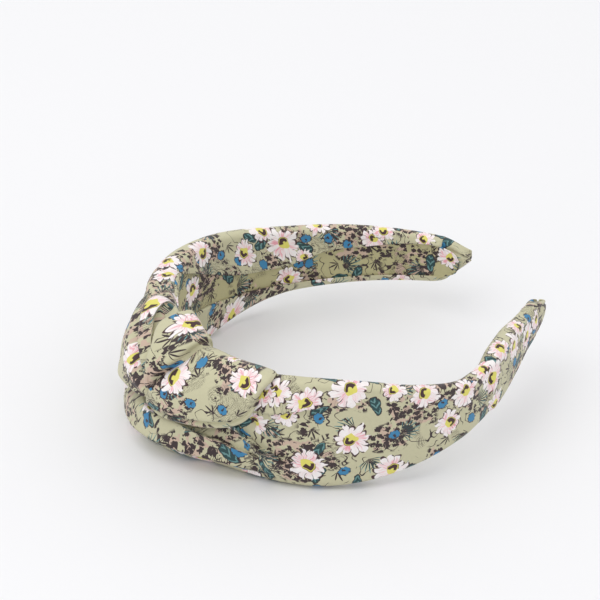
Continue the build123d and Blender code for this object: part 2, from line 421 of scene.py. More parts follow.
def daisy_group():
    """One printed daisy, from a place measured in petal lengths from its middle."""
    group, w, given, result = new_group(
        "Printed daisy",
        [("Place", "Vector", None), ("Number", "Float", 0.0),
         ("Petal", "Color", linear(246, 241, 240)), ("Streak", "Color", linear(236, 160, 172)),
         ("Line", "Color", linear(70, 46, 48)), ("Eye", "Color", linear(226, 218, 110))],
        [("Color", "Color"), ("Mask", "Float")],
    )
    number = given["Number"]
    shift = w.node(
        "ShaderNodeCombineXYZ", X=w.sum("MULTIPLY", number, 3.7), Y=w.sum("MULTIPLY", number, 1.3)
    )
    bent = w.noise(w.vector("ADD", given["Place"], shift.outputs[0]), 2.1, 1.0, "Color")
    bent = w.vector("SCALE", w.vector("SUBTRACT", bent, (0.5, 0.5, 0.5)), scale=0.3)
    place_in = w.vector("MULTIPLY", w.vector("ADD", given["Place"], bent), (1.0, 1.0, 0.0))
    x, y = w.split(place_in)[:2]
    away = w.vector("LENGTH", place_in, out=1)
    angle = w.sum("ARCTAN2", y, x)
    turns = w.sum("ADD", w.sum("MULTIPLY", angle, 13.0 / (2.0 * math.pi)), 40.0)
    petal = w.sum("FLOOR", turns)
    part = w.sum("SUBTRACT", w.sum("FRACT", turns), 0.5)
    key = w.node("ShaderNodeCombineXYZ", X=petal, Y=number)
    chance = w.node("ShaderNodeTexWhiteNoise", {"noise_dimensions": "2D"}, Vector=key.outputs[0])
    reach = w.sum("MULTIPLY_ADD", chance.outputs["Value"], 0.3, 0.72)
    bow = w.sum("SUBTRACT", 1.0, w.sum("MULTIPLY", w.sum("MULTIPLY", part, part), 3.9))
    tip = w.sum("MULTIPLY_ADD", w.sum("SQRT", bow), 0.3, 0.7)
    edge = w.sum("MULTIPLY", reach, tip)
    gap = w.sum("SUBTRACT", edge, away)
    mask = w.rise(gap, -0.015, 0.015)
    grain = w.node("ShaderNodeCombineXYZ", X=w.sum("MULTIPLY", turns, 3.1), Y=w.sum("ADD", away, number))
    fine = w.noise(grain.outputs[0], 1.6, 2.0)
    streak = w.both(w.rise(fine, 0.50, 0.58), w.fade(away, 0.45, 0.92))
    broad = w.node("ShaderNodeCombineXYZ", X=w.sum("MULTIPLY", petal, 0.7), Y=w.sum("MULTIPLY", number, 3.0))
    tint = w.rise(w.noise(broad.outputs[0], 1.3), 0.42, 0.62)
    streak = w.both(streak, w.sum("MULTIPLY_ADD", tint, 0.75, 0.25))
    colour = w.paint(given["Petal"], given["Streak"], streak)
    wash = w.both(tint, w.fade(away, 0.35, 0.75))
    colour = w.paint(colour, given["Streak"], w.sum("MULTIPLY", wash, 0.3))
    side = w.node("ShaderNodeCombineXYZ", X=w.sum("MULTIPLY", angle, 1.1), Y=w.sum("MULTIPLY", number, 1.7))
    broken = w.rise(w.noise(side.outputs[0], 1.7, 2.0), 0.44, 0.48)
    rim = w.both(w.fade(gap, 0.075, 0.11), broken)
    apart = w.both(
        w.rise(w.sum("ABSOLUTE", part), 0.455, 0.48), w.rise(away, 0.5, 0.58),
        w.rise(chance.outputs["Value"], 0.3, 0.35),
    )
    colour = w.paint(colour, given["Line"], w.sum("MAXIMUM", rim, apart))
    eye = w.vector("SUBTRACT", place_in, (0.05, 0.04, 0.0))
    eye_away = w.vector("LENGTH", w.vector("MULTIPLY", eye, (1.0, 1.15, 1.0)), out=1)
    shade = w.both(w.fade(eye_away, 0.37, 0.39), w.rise(w.split(eye)[0], 0.02, 0.06))
    colour = w.paint(colour, linear(150, 138, 72), shade)
    colour = w.paint(colour, given["Eye"], w.fade(eye_away, 0.33, 0.35))
    curve = w.sum("ABSOLUTE", w.sum("SUBTRACT", eye_away, 0.21))
    crescent = w.both(w.fade(curve, 0.085, 0.105), w.rise(w.split(eye)[0], -0.05, 0.0))
    colour = w.paint(colour, given["Line"], crescent)
    w.feed(result["Color"], colour)
    w.feed(result["Mask"], mask)
    return group


def meadow_group():
    """The small print between the daisies: buds, leaves, fern, sprigs and dots, on a plain ground."""
    group, w, given, result = new_group(
        "Meadow print",
        [("Place", "Vector", None), ("Ground", "Color", linear(197, 193, 160)),
         ("Sprig", "Color", linear(62, 50, 52)), ("Patch", "Color", linear(202, 178, 160)),
         ("Bud", "Color", linear(62, 132, 176)), ("Leaf", "Color", linear(44, 74, 76)),
         ("Leaf light", "Color", linear(104, 146, 146))],
        [("Color", "Color")],
    )
    at = w.vector("SCALE", given["Place"], scale=1.0 / MM)
    wobble = w.vector("SUBTRACT", w.noise(at, 0.35, 2.0, "Color"), (0.5, 0.5, 0.5))
    soft = w.vector("ADD", at, w.vector("SCALE", wobble, scale=2.4))
    cluster_fac = w.noise(at, 0.052, 1.0)
    cluster = w.rise(cluster_fac, 0.50, 0.54)
    patch = w.both(w.rise(w.noise(at, 0.3, 1.0), 0.5, 0.53), w.rise(cluster_fac, 0.545, 0.575))
    colour = w.paint(given["Ground"], given["Patch"], patch)

    rough = w.vector("SUBTRACT", w.noise(at, 1.1, 1.0, "Color"), (0.5, 0.5, 0.5))
    grown = w.vector("ADD", soft, w.vector("SCALE", rough, scale=1.6))
    dots = w.cells(w.vector("MULTIPLY", grown, (0.85, 1.1, 1.0)), 0.44)
    size = w.sum("MULTIPLY_ADD", w.channels(dots.outputs["Color"])[0], 0.38, 0.18)
    dot = w.both(w.fade(w.sum("SUBTRACT", dots.outputs["Distance"], size), -0.03, 0.03), cluster)
    tangle = w.sum("ABSOLUTE", w.sum("SUBTRACT", w.noise(at, 0.16, 1.0), 0.5))
    thread = w.both(w.fade(tangle, 0.011, 0.018), w.rise(w.noise(at, 0.09), 0.52, 0.56))
    blades = w.node("ShaderNodeVectorRotate", {"rotation_type": "Z_AXIS"}, Vector=soft)
    w.feed(blades.inputs["Angle"], w.sum("MULTIPLY", w.noise(at, 0.04), 9.0))
    strokes = w.cells(w.vector("MULTIPLY", blades.outputs[0], (0.36, 1.0, 1.0)), 0.46)
    stroke_here = w.rise(w.noise(w.vector("ADD", at, (90.0, 40.0, 0.0)), 0.055), 0.58, 0.61)
    stroke = w.both(w.fade(strokes.outputs["Distance"], 0.24, 0.29), stroke_here)
    dark = w.sum("MAXIMUM", w.sum("MAXIMUM", dot, stroke), thread)
    colour = w.paint(colour, given["Sprig"], dark)

    def shape_cells(offset, scale, chance):
        """A shape's own place in mm in each cell, turned at random, and where there is one."""
        cell = w.cells(w.vector("ADD", at, offset), scale, 0.85)
        red, green, blue = w.channels(cell.outputs["Color"])[:3]
        own = w.vector("SUBTRACT", w.vector("ADD", at, offset), cell.outputs["Position"])
        turned = w.node("ShaderNodeVectorRotate", {"rotation_type": "Z_AXIS"}, Vector=own)
        w.feed(turned.inputs["Angle"], w.sum("MULTIPLY", red, 6.28))
        return turned.outputs[0], w.rise(green, 1.0 - chance, 1.001 - chance), blue

    def fan(offset, scale, chance, reach, blades):
        """Blades spreading from one point, and how far along its blade each place is."""
        fan_at, here, _ = shape_cells(offset, scale, chance)
        moved = w.vector("ADD", fan_at, (0.45 * reach, 0.0, 0.0))
        fx, fy = w.split(moved)[:2]
        angle = w.sum("ARCTAN2", fy, fx)
        part = w.sum("SUBTRACT", w.sum("FRACT", w.sum("MULTIPLY_ADD", angle, blades, 20.5)), 0.5)
        longest = w.sum("MULTIPLY_ADD", w.sum("ABSOLUTE", angle), -0.28 * reach, reach)
        along = w.sum("DIVIDE", w.vector("LENGTH", moved, out=1), longest)
        width = w.sum("MULTIPLY_ADD", along, -0.42, 0.46)
        inside = w.fade(w.sum("SUBTRACT", w.sum("ABSOLUTE", part), width), -0.03, 0.03)
        within = w.fade(w.sum("ABSOLUTE", angle), 1.25, 1.3)
        return w.both(inside, within, w.fade(along, 0.97, 1.0), here), along

    sprig, _ = fan((12.0, 44.0, 0.0), 0.105, 0.5, 4.6, 1.6)
    colour = w.paint(colour, given["Sprig"], sprig)
    fern, along_blade = fan((31.0, 7.0, 0.0), 0.058, 0.62, 7.6, 3.3)
    fern_colour = w.paint(given["Leaf"], given["Leaf light"], w.rise(along_blade, 0.55, 0.9))
    fern_colour = w.paint(fern_colour, given["Sprig"], w.fade(along_blade, 0.2, 0.45))
    colour = w.paint(colour, fern_colour, fern)

    leaf_at, leaf_here, _ = shape_cells((5.0, 61.0, 0.0), 0.064, 0.62)
    flat_wobble = w.vector("MULTIPLY", wobble, (1.0, 1.0, 0.0))
    leaf_at = w.vector("ADD", leaf_at, w.vector("SCALE", flat_wobble, scale=1.8))
    lx, ly = w.split(leaf_at)[:2]
    across = w.sum("DIVIDE", ly, w.sum("MULTIPLY_ADD", lx, -0.13, 1.9))
    length = w.sum("DIVIDE", lx, 4.3)
    body = w.sum("ADD", w.sum("MULTIPLY", across, across), w.sum("MULTIPLY", length, length))
    leaf = w.both(w.fade(body, 0.94, 1.02), leaf_here)
    vein = w.sum("SINE", w.sum("MULTIPLY_ADD", w.sum("ABSOLUTE", ly), 3.6, w.sum("MULTIPLY", lx, 2.3)))
    veined = w.both(w.rise(vein, 0.35, 0.8), w.fade(body, 0.5, 0.75))
    leaf_colour = w.paint(given["Leaf"], given["Leaf light"], veined)
    leaf_colour = w.paint(leaf_colour, given["Sprig"], w.rise(body, 0.74, 0.82))
    colour = w.paint(colour, leaf_colour, leaf)

    bud_at, bud_here, bud_kind = shape_cells((77.0, 23.0, 0.0), 0.082, 0.5)
    flat_rough = w.vector("MULTIPLY", rough, (1.0, 1.0, 0.0))
    bud_at = w.vector("ADD", bud_at, w.vector("SCALE", flat_rough, scale=1.3))
    bud_away = w.vector("LENGTH", w.vector("MULTIPLY", bud_at, (1.0, 0.8, 1.0)), out=1)
    bx, by = w.split(bud_at)[:2]
    stalk = w.both(
        w.fade(w.sum("ABSOLUTE", by), 0.22, 0.34), w.rise(bx, 0.0, 0.1), w.fade(bx, 3.2, 3.4)
    )
    ring = w.both(w.fade(bud_away, 1.9, 2.05), w.rise(w.noise(bud_at, 0.33), 0.44, 0.5))
    colour = w.paint(colour, given["Sprig"], w.both(w.sum("MAXIMUM", stalk, ring), bud_here))
    colour = w.paint(colour, given["Bud"], w.both(w.fade(bud_away, 1.6, 1.75), bud_here))
    spot = w.vector("LENGTH", w.vector("SUBTRACT", bud_at, (0.3, 0.2, 0.0)), out=1)
    tick = w.sum("MAXIMUM", w.fade(spot, 0.45, 0.6), w.both(stalk, w.fade(bx, 1.2, 1.4)))
    colour = w.paint(colour, given["Sprig"], w.both(tick, bud_here, w.rise(bud_kind, 0.3, 0.31)))
    w.feed(result["Color"], colour)
    return group


def weave_group():
    """The weave of thin satin cloth with a little crepe, as a height and a painted shade that follows it."""
    group, w, given, result = new_group(
        "Satin weave",
        [("Place", "Vector", None), ("Threads", "Float", 3.4)],
        [("Height", "Float"), ("Shade", "Float")],
    )
    at = w.vector("SCALE", given["Place"], scale=1.0 / MM)
    x, y = w.split(w.vector("SCALE", at, scale=given["Threads"]))[:2]
    step = w.sum("MULTIPLY", w.sum("FLOOR", y), 0.4)
    warp = w.sum("SINE", w.sum("MULTIPLY", w.sum("ADD", x, step), 2.0 * math.pi))
    weft = w.sum("SINE", w.sum("MULTIPLY", y, 2.0 * math.pi))
    threads = w.sum("MULTIPLY_ADD", warp, 0.3, w.sum("MULTIPLY", weft, 0.3))
    crepe = w.noise(at, 0.8, 3.0)
    w.feed(result["Height"], w.sum("ADD", threads, w.sum("MULTIPLY", crepe, 1.6)))
    # painted shade: the colour is lighter where the threads and crepe stand high and darker where they sink
    relief_shade = w.sum("MULTIPLY_ADD", crepe, 0.1, 0.93)
    w.feed(result["Shade"], w.sum("MULTIPLY_ADD", threads, 0.05, relief_shade))
    return group


def fresh_material(name):
    """A new material, the wiring to fill it and its shader."""
    material = bpy.data.materials.new(name)
    material.use_nodes = True
    return material, Wiring(material.node_tree), material.node_tree.nodes["Principled BSDF"]


def relief(w, shader, height, strength, depth):
    """Raises the surface by a height map, with depth in metres."""
    bump = w.node("ShaderNodeBump", Height=height)
    bump.inputs["Strength"].default_value = strength
    bump.inputs["Distance"].default_value = depth
    w.feed(shader.inputs["Normal"], bump.outputs["Normal"])


GROUPS = {}


def cloth_material(name, ground, roughness):
    """Printed cloth: the meadow print on its ground, daisies over it, and the weave in relief."""
    if name in bpy.data.materials:
        return bpy.data.materials[name]
    if not GROUPS:
        GROUPS.update(daisy=daisy_group(), meadow=meadow_group(), weave=weave_group())
    material, w, shader = fresh_material(name)
    cloth = w.node("ShaderNodeUVMap", {"uv_map": "cloth"}).outputs[0]
    meadow = w.node("ShaderNodeGroup", {"node_tree": GROUPS["meadow"]}, Place=cloth)
    meadow.inputs["Ground"].default_value = ground
    colour = meadow.outputs["Color"]
    for letter in "ab":
        here = w.node("ShaderNodeUVMap", {"uv_map": "daisy_" + letter}).outputs[0]
        number = w.node("ShaderNodeAttribute", {"attribute_name": "daisy_number_" + letter})
        daisy = w.node("ShaderNodeGroup", {"node_tree": GROUPS["daisy"]}, Place=here)
        w.feed(daisy.inputs["Number"], number.outputs["Fac"])
        colour = w.paint(colour, daisy.outputs["Color"], daisy.outputs["Mask"])
    weave = w.node("ShaderNodeGroup", {"node_tree": GROUPS["weave"]}, Place=cloth)
    # the weave's painted shade darkens the printed colour where the weave sinks
    shade = w.vector("SCALE", colour, scale=weave.outputs["Shade"])
    w.feed(shader.inputs["Base Color"], shade)
    relief(w, shader, weave.outputs["Height"], 0.35, 0.00008)
    shader.inputs["Roughness"].default_value = roughness
    shader.inputs["Specular IOR Level"].default_value = 0.3
    shader.inputs["Sheen Weight"].default_value = 0.12
    shader.inputs["Sheen Roughness"].default_value = 0.4
    return material


def band_cloth():
    return cloth_material("printed satin", tuple(bpy.context.scene.headband_colours.ground) + (1.0,), 0.52)


def lining_cloth():
    # the lining is the printed cloth again on a darker ground: painted shade inside the band
    return cloth_material("lining satin with painted shade", tuple(bpy.context.scene.headband_colours.lining) + (1.0,), 0.62)


def moulded_material():
    """Matt moulded plastic with fine grain and faint flow marks."""
    material, w, shader = fresh_material("moulded plastic")
    at = w.node("ShaderNodeTexCoord").outputs["Object"]
    grain = w.node("ShaderNodeTexNoise", Vector=at)
    grain.inputs["Scale"].default_value = 1800.0
    flow = w.node("ShaderNodeTexNoise", Vector=w.vector("MULTIPLY", at, (30.0, 30.0, 220.0)))
    flow.inputs["Scale"].default_value = 1.0
    colour = w.paint(linear(226, 222, 210), linear(206, 200, 184), w.rise(flow.outputs["Fac"], 0.4, 0.65))
    w.feed(shader.inputs["Base Color"], colour)
    relief(w, shader, grain.outputs["Fac"], 0.3, 0.00005)
    w.feed(shader.inputs["Roughness"], w.sum("MULTIPLY_ADD", flow.outputs["Fac"], 0.2, 0.45))
    return material


def thread_material():
    """Spun thread, with its twist in relief."""
    material, w, shader = fresh_material("tack thread")
    at = w.node("ShaderNodeTexCoord").outputs["Object"]
    y, z = w.split(at)[1:3]
    twist = w.sum("SINE", w.sum("MULTIPLY", w.sum("ADD", z, w.sum("MULTIPLY", y, 0.7)), 9000.0))
    colour = w.paint(linear(176, 168, 134), linear(140, 132, 100), w.rise(twist, -0.4, 0.6))
    w.feed(shader.inputs["Base Color"], colour)
    relief(w, shader, twist, 0.5, 0.0001)
    shader.inputs["Roughness"].default_value = 0.8
    return material


# ---- the shapes of the band's own cloth ----

def bulge(side, turn):
    """How far the outer cloth stands out beyond its flat place, gathered beside the knot."""
    if side > 0:
        return steps(turn, (0, 0.3), (20, 1.5), (33, 5.2), (41, 4.8), (47, 3.8), (53, 2.9), (60, 1.4),
                     (68, 0.2), (80, 0.0), (146, 0.0))
    return steps(turn, (0, 0.3), (20, 0.8), (33, 1.5), (45, 1.1), (58, 0.3), (70, 0.0), (146, 0.0))


def roll_edges(side, turn):
    """Heights where the outer cloth, rolled over to the inside, ends above and below the lining."""
    if side > 0:
        high = steps(turn, (0, 40), (25, 43), (42, 45.6), (55, 39), (66, 31.8), (82, 23.8), (95, 21.3),
                     (106, 22.1), (115, 27.0), (123, 28.3), (132, 30.8), (141, 32.0))
        low = steps(turn, (0, 12), (40, 20), (59, 18.7), (77, 15.5), (90, 14.2), (103, 13.3),
                    (111, 13.5), (125, 14.8), (141, 17.0))
    else:
        top, bottom = edges(side, turn)
        high = top - steps(turn, (0, 7), (60, 7), (100, 5), (120, 6), (132, 4), (141, 2.4))
        low = bottom + steps(turn, (0, 9), (60, 7), (100, 5), (125, 4), (141, 2.2))
    return high, low


def folded(out, height, line, depth, lap, soft, hangs):
    """A pleat along a line: the cloth on one side stands proud and its lip laps over the other."""
    beyond = hangs * (height - line)
    proud = beyond > 0
    far_side = np.minimum(beyond, 0.0)
    near_side = np.maximum(beyond, 0.0)
    lift = np.where(proud, np.exp(-near_side / soft), np.exp(far_side / 0.3))
    dip = np.where(proud, 0.0, -0.28 * (1.0 - np.exp(far_side / 0.5)) * np.exp(far_side / 4.5))
    slide = np.where(proud, np.exp(-(near_side / 2.4) ** 2), np.exp(far_side / 0.3))
    return out + depth * (lift + dip), height - hangs * lap * slide


PLEATS = {
    # line heights by turn, depth by turn, how far the lip laps by turn, softness, side that hangs
    -1: [
        (((0, 39), (28, 37.5), (34, 36.6), (40, 35.6), (46, 37.0), (52, 38.0), (60, 38.0), (146, 38)),
         ((0, 1.5), (30, 2.4), (40, 2.2), (48, 1.5), (56, 0.7), (66, 0.0), (146, 0)),
         ((0, 1.0), (30, 1.6), (42, 1.5), (50, 0.8), (58, 0.1), (66, 0), (146, 0)), 6.5, 1),
        (((0, 36), (30, 35), (37.4, 33.5), (41.5, 29.2), (46, 26), (146, 24)),
         ((0, 0.5), (30, 1.0), (37, 1.2), (42, 0.8), (47, 0.2), (52, 0.0), (146, 0)),
         ((0, 0.3), (36, 0.8), (42, 0.4), (47, 0), (146, 0)), 3.0, 1),
        (((0, 28), (25.4, 25.0), (30, 20.0), (34, 15.0), (40, 11.4), (47, 9.2), (60, 8), (146, 8)),
         ((0, 2), (26, 3.6), (34, 3.4), (40, 2.2), (46, 1.0), (54, 0.0), (146, 0)),
         ((0, 0.5), (30, 1.8), (37, 1.4), (43, 0.5), (49, 0), (146, 0)), 6.0, -1),
    ],
    1: [
        (((0, 36), (34, 37), (50, 34), (70, 32), (146, 30)),
         ((0, 1), (34, 1.8), (50, 1.4), (66, 0.5), (80, 0), (146, 0)),
         ((0, 0.6), (36, 1.3), (52, 0.8), (66, 0), (146, 0)), 5.0, 1),
        (((0, 24), (34, 25), (50, 21), (64, 16), (146, 12)),
         ((0, 1), (34, 1.6), (50, 1.1), (62, 0.3), (74, 0), (146, 0)),
         ((0, 0.6), (36, 1.2), (50, 0.6), (60, 0), (146, 0)), 4.5, 1),
        (((0, 12), (34, 13), (48, 11), (62, 10), (146, 10)),
         ((0, 1), (34, 1.5), (46, 0.9), (58, 0.0), (146, 0)),
         ((0, 0.5), (34, 0.9), (46, 0.3), (56, 0), (146, 0)), 4.0, -1),
    ],
}
INNER_CLOTH = -2.45
OUTER_CLOTH = 3.05
ROLL_PARTS = (0.22, 0.31, 0.72, 0.81)


def arm_cloth(side):
    """The outer cloth of one arm, from inside the upper edge round to inside the lower edge."""

    def shape(a, b):
        turn = END_TURN * a
        top, bottom = edges(side, turn)
        swell = bulge(side, turn)
        face = OUTER_CLOTH + swell
        if side < 0:
            notch = 113.6 + 1.2 * np.sin(b * 9.0)
            face = face + 1.1 * ramp(turn, notch - 0.4, notch + 0.4) * (1.0 - ramp(turn, 120.0, 136.0))
        edge = 2.2 + 0.35 * swell
        high, low = roll_edges(side, turn)
        p = [
            np.clip((b - start) / (end - start), 0.0, 1.0)
            for start, end in zip((0.0,) + ROLL_PARTS, ROLL_PARTS + (1.0,))
        ]
        puff = 0.5 + 0.7 * ramp(top - high, 4.0, 12.0)
        if side < 0:
            puff = puff + 1.4 * ramp(turn, 114.0, 118.0) * (1.0 - ramp(turn, 128.0, 138.0))
        inside_top = high + (top - edge - high) * p[0]
        curl = np.exp(-((p[0] / 0.035) ** 2))
        out = INNER_CLOTH - puff * np.exp(-(inside_top - high) / 4.0) + (puff + 0.35) * curl
        height = inside_top + 0.9 * curl
        small = 0.55 * ramp(turn, 120, 126) * (1.0 - ramp(turn, 133, 138))
        out = np.where(b < ROLL_PARTS[0], folded(out, height, high + 4.2, -small, small, 2.0, 1)[0], out)
        middle, wide = (face + INNER_CLOTH) / 2.0, (face - INNER_CLOTH) / 2.0
        arch = np.pi * (1.0 - p[1])
        on_top = (b >= ROLL_PARTS[0]) & (b < ROLL_PARTS[1])
        out = np.where(on_top, middle + wide * np.cos(arch), out)
        height = np.where(on_top, top - edge + edge * np.sin(arch) ** 0.85, height)
        on_face = (b >= ROLL_PARTS[1]) & (b <= ROLL_PARTS[2])
        face_height = top - edge - (top - bottom - 2.0 * edge) * p[2]
        face_out = face + 0.35 * np.sin(np.pi * p[2])
        for line, depth, lap, soft, hangs in PLEATS[side]:
            window = ramp(p[2], 0.0, 0.05) * (1.0 - ramp(p[2], 0.95, 1.0))
            face_out, face_height = folded(
                face_out, face_height, steps(turn, *line), steps(turn, *depth) * window,
                steps(turn, *lap) * window, soft, hangs,
            )
        out = np.where(on_face, face_out, out)
        height = np.where(on_face, face_height, height)
        under = (b > ROLL_PARTS[2]) & (b <= ROLL_PARTS[3])
        arch = np.pi * p[3]
        out = np.where(under, middle + wide * np.cos(arch), out)
        height = np.where(under, bottom + edge - edge * np.sin(arch) ** 0.85, height)
        inside_low = b > ROLL_PARTS[3]
        low_height = bottom + edge + (low - bottom - edge) * p[4]
        low_puff = 0.35 + 0.5 * ramp(low - bottom, 3.0, 10.0)
        low_curl = np.exp(-(((1.0 - p[4]) / 0.035) ** 2))
        low_out = INNER_CLOTH - low_puff * np.exp(-(low - low_height) / 3.0) + (low_puff + 0.35) * low_curl
        out = np.where(inside_low, low_out, out)
        height = np.where(inside_low, low_height - 0.6 * low_curl, height)
        gather = 0.62 * np.exp(-np.maximum(turn - 33.0, 0.0) / 10.0)
        lines = 2.0 * np.abs(np.sin(b * 43.0 + 0.035 * turn)) ** 0.7 - 1.2
        lines = lines + 0.4 * np.sin(b * 139.0 - 0.04 * turn)
        facing = np.where(b < ROLL_PARTS[0], -1.0, np.where(b > ROLL_PARTS[3], -1.0, 1.0))
        on_edge = on_top | under
        out = out + np.where(on_edge, 0.0, facing * gather * lines)
        height = height + np.where(on_top, gather * lines, 0.0)
        out = out + ripple(side * turn, height, 0.22) * np.where(on_edge, 0.0, 1.0)
        height = np.maximum(height, 0.3)
        across = np.hypot(np.diff(out, axis=0), np.diff(height, axis=0))
        down = np.vstack([np.zeros((1, out.shape[1])), np.cumsum(across, axis=0)])
        down = down - down[(b.shape[0] - 1) // 2]
        cloth = np.stack([run_along(side * turn), -down], -1)
        return place(side * np.maximum(turn, 0.01), out + lean(side, turn), height), cloth

    return shape


LINING_END = 144.2
SLEEVE_FROM, SLEEVE_TO = 138.4, 146.2
HOOP_FROM, HOOP_TO = 34.9, 143.6
HOOP_EDGE = 2.3
HOOP_THICK = 1.8


def arm_lining(side):
    """The lining of one arm: flat on the hoop, with a rounded hemmed end over the end fold."""

    def shape(a, b):
        turn = LINING_END * a
        round_part = np.clip((turn - 139.0) / (LINING_END - 139.0), 0.0, 1.0)
        top, bottom = edges(side, np.minimum(turn, 141.0))
        half = ((top - bottom) / 2.0 - 2.0) * (0.2 + 0.8 * np.sqrt(1.0 - round_part ** 2 * 0.999))
        height = (top + bottom) / 2.0 + half * (2.0 * b - 1.0)
        out = -1.85 - 1.25 * ramp(turn, 137.0, 140.5)
        wave = np.sin(height * 0.52 + turn * 0.05) * np.exp(-np.maximum(turn - 35.0, 0.0) / 28.0)
        out = out + 0.22 * wave * (1.0 - ramp(turn, 100.0, 120.0))
        end_hem = np.exp(-((LINING_END - turn) / 0.5) ** 2)
        side_hem = ramp(turn, 138, 141) * np.exp(-(((1 - np.abs(2 * b - 1)) / 0.05) ** 2))
        hem = np.maximum(end_hem, side_hem)
        out = out - 0.35 * hem
        cloth = np.stack([run_along(side * turn) + 320.0, height], -1)
        return place(side * np.maximum(turn, 0.01), out + lean(side, turn), height), cloth

    return shape


def arm_tip(side):
    """The outer cloth folded over an arm's tip: a flat sleeve that closes in two soft corners."""

    def shape(a, b):
        turn = SLEEVE_FROM + (SLEEVE_TO - SLEEVE_FROM) * np.sin(a * np.pi / 2.0)
        top, bottom = edges(side, np.minimum(turn, 146.0))
        half = np.maximum((top - bottom) / 2.0 - 0.12, 1.2)
        around = 2.0 * np.pi * b
        thin = 1.0 - 0.8 * ramp(a, 0.8, 1.0)
        bulk = (2.6 + 0.9 * np.sin(np.pi * np.clip(a, 0.0, 1.0)) * (side < 0)) * thin
        spread = np.sign(np.cos(around)) * np.abs(np.cos(around)) ** 0.45
        rise = np.sign(np.sin(around)) * np.abs(np.sin(around)) ** 0.8
        out = 0.3 + bulk * spread
        height = (top + bottom) / 2.0 + half * rise * (1.0 - 0.12 * ramp(a, 0.9, 1.0))
        crease = np.exp(-(((rise - 0.25 - 0.5 * (1.0 - a)) / 0.16) ** 2)) * ramp(a, 0.05, 0.4)
        out = out - 0.8 * crease * np.sign(spread) * thin
        notch = np.exp(-((np.cos(around) / 0.42) ** 2)) * (np.sin(around) > 0) * ramp(a, 0.15, 0.7)
        height = height - 1.6 * notch
        girth = 2.0 * half + 2.0 * bulk
        cloth = np.stack([run_along(side * turn), (b - 0.5) * 2.0 * girth.mean()], -1)
        return place(side * turn, out + lean(side, turn), height), cloth

    return shape


# ---- the shapes of the knot ----

# each row of points runs along a fold; a point is turn in degrees, distance out and height in mm

WRAP = (
    ((-7, 11.5, 27.5), (-7, 11.8, 33), (-8, 9.4, 38), (-10, 6.4, 43), (-11.5, 1.6, 46.2),
     (-11.5, -2.0, 45.5), (-11.5, -3.4, 42)),
    ((-4.4, 14.8, 28), (-3.0, 15.4, 33), (-3.2, 13.8, 37.6), (-5.6, 9.8, 42.8), (-7.4, 3.2, 47.3),
     (-7.6, -2.2, 47), (-7.6, -3.6, 42)),
    ((-4.2, 17.4, 28), (-1.7, 19.0, 33.2), (-1.9, 18.3, 37.8), (-5.0, 14.4, 43.6), (-7.2, 5.6, 49.6),
     (-7.2, -2.8, 49.2), (-7.2, -4.4, 42.5)),
    ((-4.1, 17.6, 27.8), (-1.2, 19.4, 33.4), (-1.0, 18.9, 38.2), (-1.8, 15.8, 43.9), (-3.0, 7.8, 50.1),
     (-2.6, -3, 50.4), (-2.6, -5.2, 43)),
    ((-4.0, 17.2, 27.6), (-0.9, 19.0, 33.5), (-0.2, 18.4, 38.6), (0.4, 15.6, 44.1), (1.8, 8.4, 50.6),
     (3.0, -3.6, 51.6), (3, -6.8, 43)),
    ((-4.0, 16.2, 27.5), (-0.8, 17.2, 33.4), (0.6, 15.6, 38.8), (2.6, 12.4, 44.0), (6.8, 7.4, 50.2),
     (8.4, -3.6, 51.4), (8.4, -6.6, 43)),
    ((-4.0, 15.2, 27.4), (-0.7, 15.2, 33.2), (1.6, 12.4, 38.9), (5.0, 8.4, 43.6), (11.0, 3.0, 48.2),
     (12.8, -2.0, 48.8), (12.6, -4.6, 43)),
    ((-4, 14.8, 27.2), (-0.6, 14.6, 33), (2.4, 11.6, 38.6), (6.8, 7.4, 43.0), (13.6, 1.8, 47.0),
     (15.4, -1.0, 47.2), (15.2, -3.2, 43)),
    ((-3.95, 15.6, 27.2), (-0.4, 17.2, 32.8), (3.2, 15.4, 38.3), (8.2, 12.4, 43), (15.2, 7.4, 48.6),
     (17.6, 1.5, 50.4), (18.2, -3.4, 45)),
    ((-3.9, 16.2, 27.1), (0.1, 18.8, 32), (4.6, 17.8, 37.2), (10.4, 15.2, 42), (17.4, 10.2, 48.0),
     (21.0, 3.8, 50.6), (22, -3.0, 45.5)),
    ((-3.8, 15.8, 27), (0.6, 17.6, 31.5), (5.8, 16.6, 36.4), (11.8, 14.6, 40.8), (19, 10.8, 46),
     (24, 5.6, 49.2), (26, -1.6, 46)),
    ((-3.6, 14.8, 26.8), (1.5, 15.6, 30.6), (7, 14.2, 34.4), (13.5, 12.4, 38.2), (20.5, 10.4, 42.4),
     (27, 7.4, 45.8), (33, 4.6, 47)),
    ((-3.55, 15.8, 26.7), (1.8, 18.2, 30), (7.6, 17.8, 33.2), (14.4, 16.6, 36.4), (21.6, 14.4, 39.8),
     (28.4, 10.8, 42.5), (34.2, 5.8, 44)),
    ((-3.4, 16.4, 26.5), (2.3, 19.6, 28.8), (8.6, 19.8, 30.8), (15.6, 18.8, 32.6), (22.6, 16.8, 34.4),
     (29.6, 13.0, 35.8), (35, 7.2, 36.5)),
    ((-3.2, 16.0, 26), (3, 19.9, 26.4), (10, 20.9, 26.2), (17, 20.3, 26), (24, 18.4, 25.6),
     (30, 14.8, 25.4), (35.5, 8.8, 25)),
    ((-3.1, 15.2, 25.6), (3.1, 19.2, 25), (10.2, 20.6, 23.2), (17.3, 20.9, 21.4), (24, 19.3, 19.8),
     (30, 16.0, 18.6), (35.3, 9.2, 18)),
    ((-3, 13.4, 25.3), (3.2, 16.6, 24.2), (10.5, 18.0, 22.0), (17.5, 18.6, 19.6), (24, 17.6, 17.6),
     (30, 14.6, 15.8), (35, 8.6, 14.6)),
    ((-3, 10.4, 26), (3, 11.4, 26.4), (10, 12.0, 24.9), (17, 12, 22.4), (24, 10.5, 20.4),
     (30, 8.2, 18.6), (34.5, 6.4, 16.4)),
)
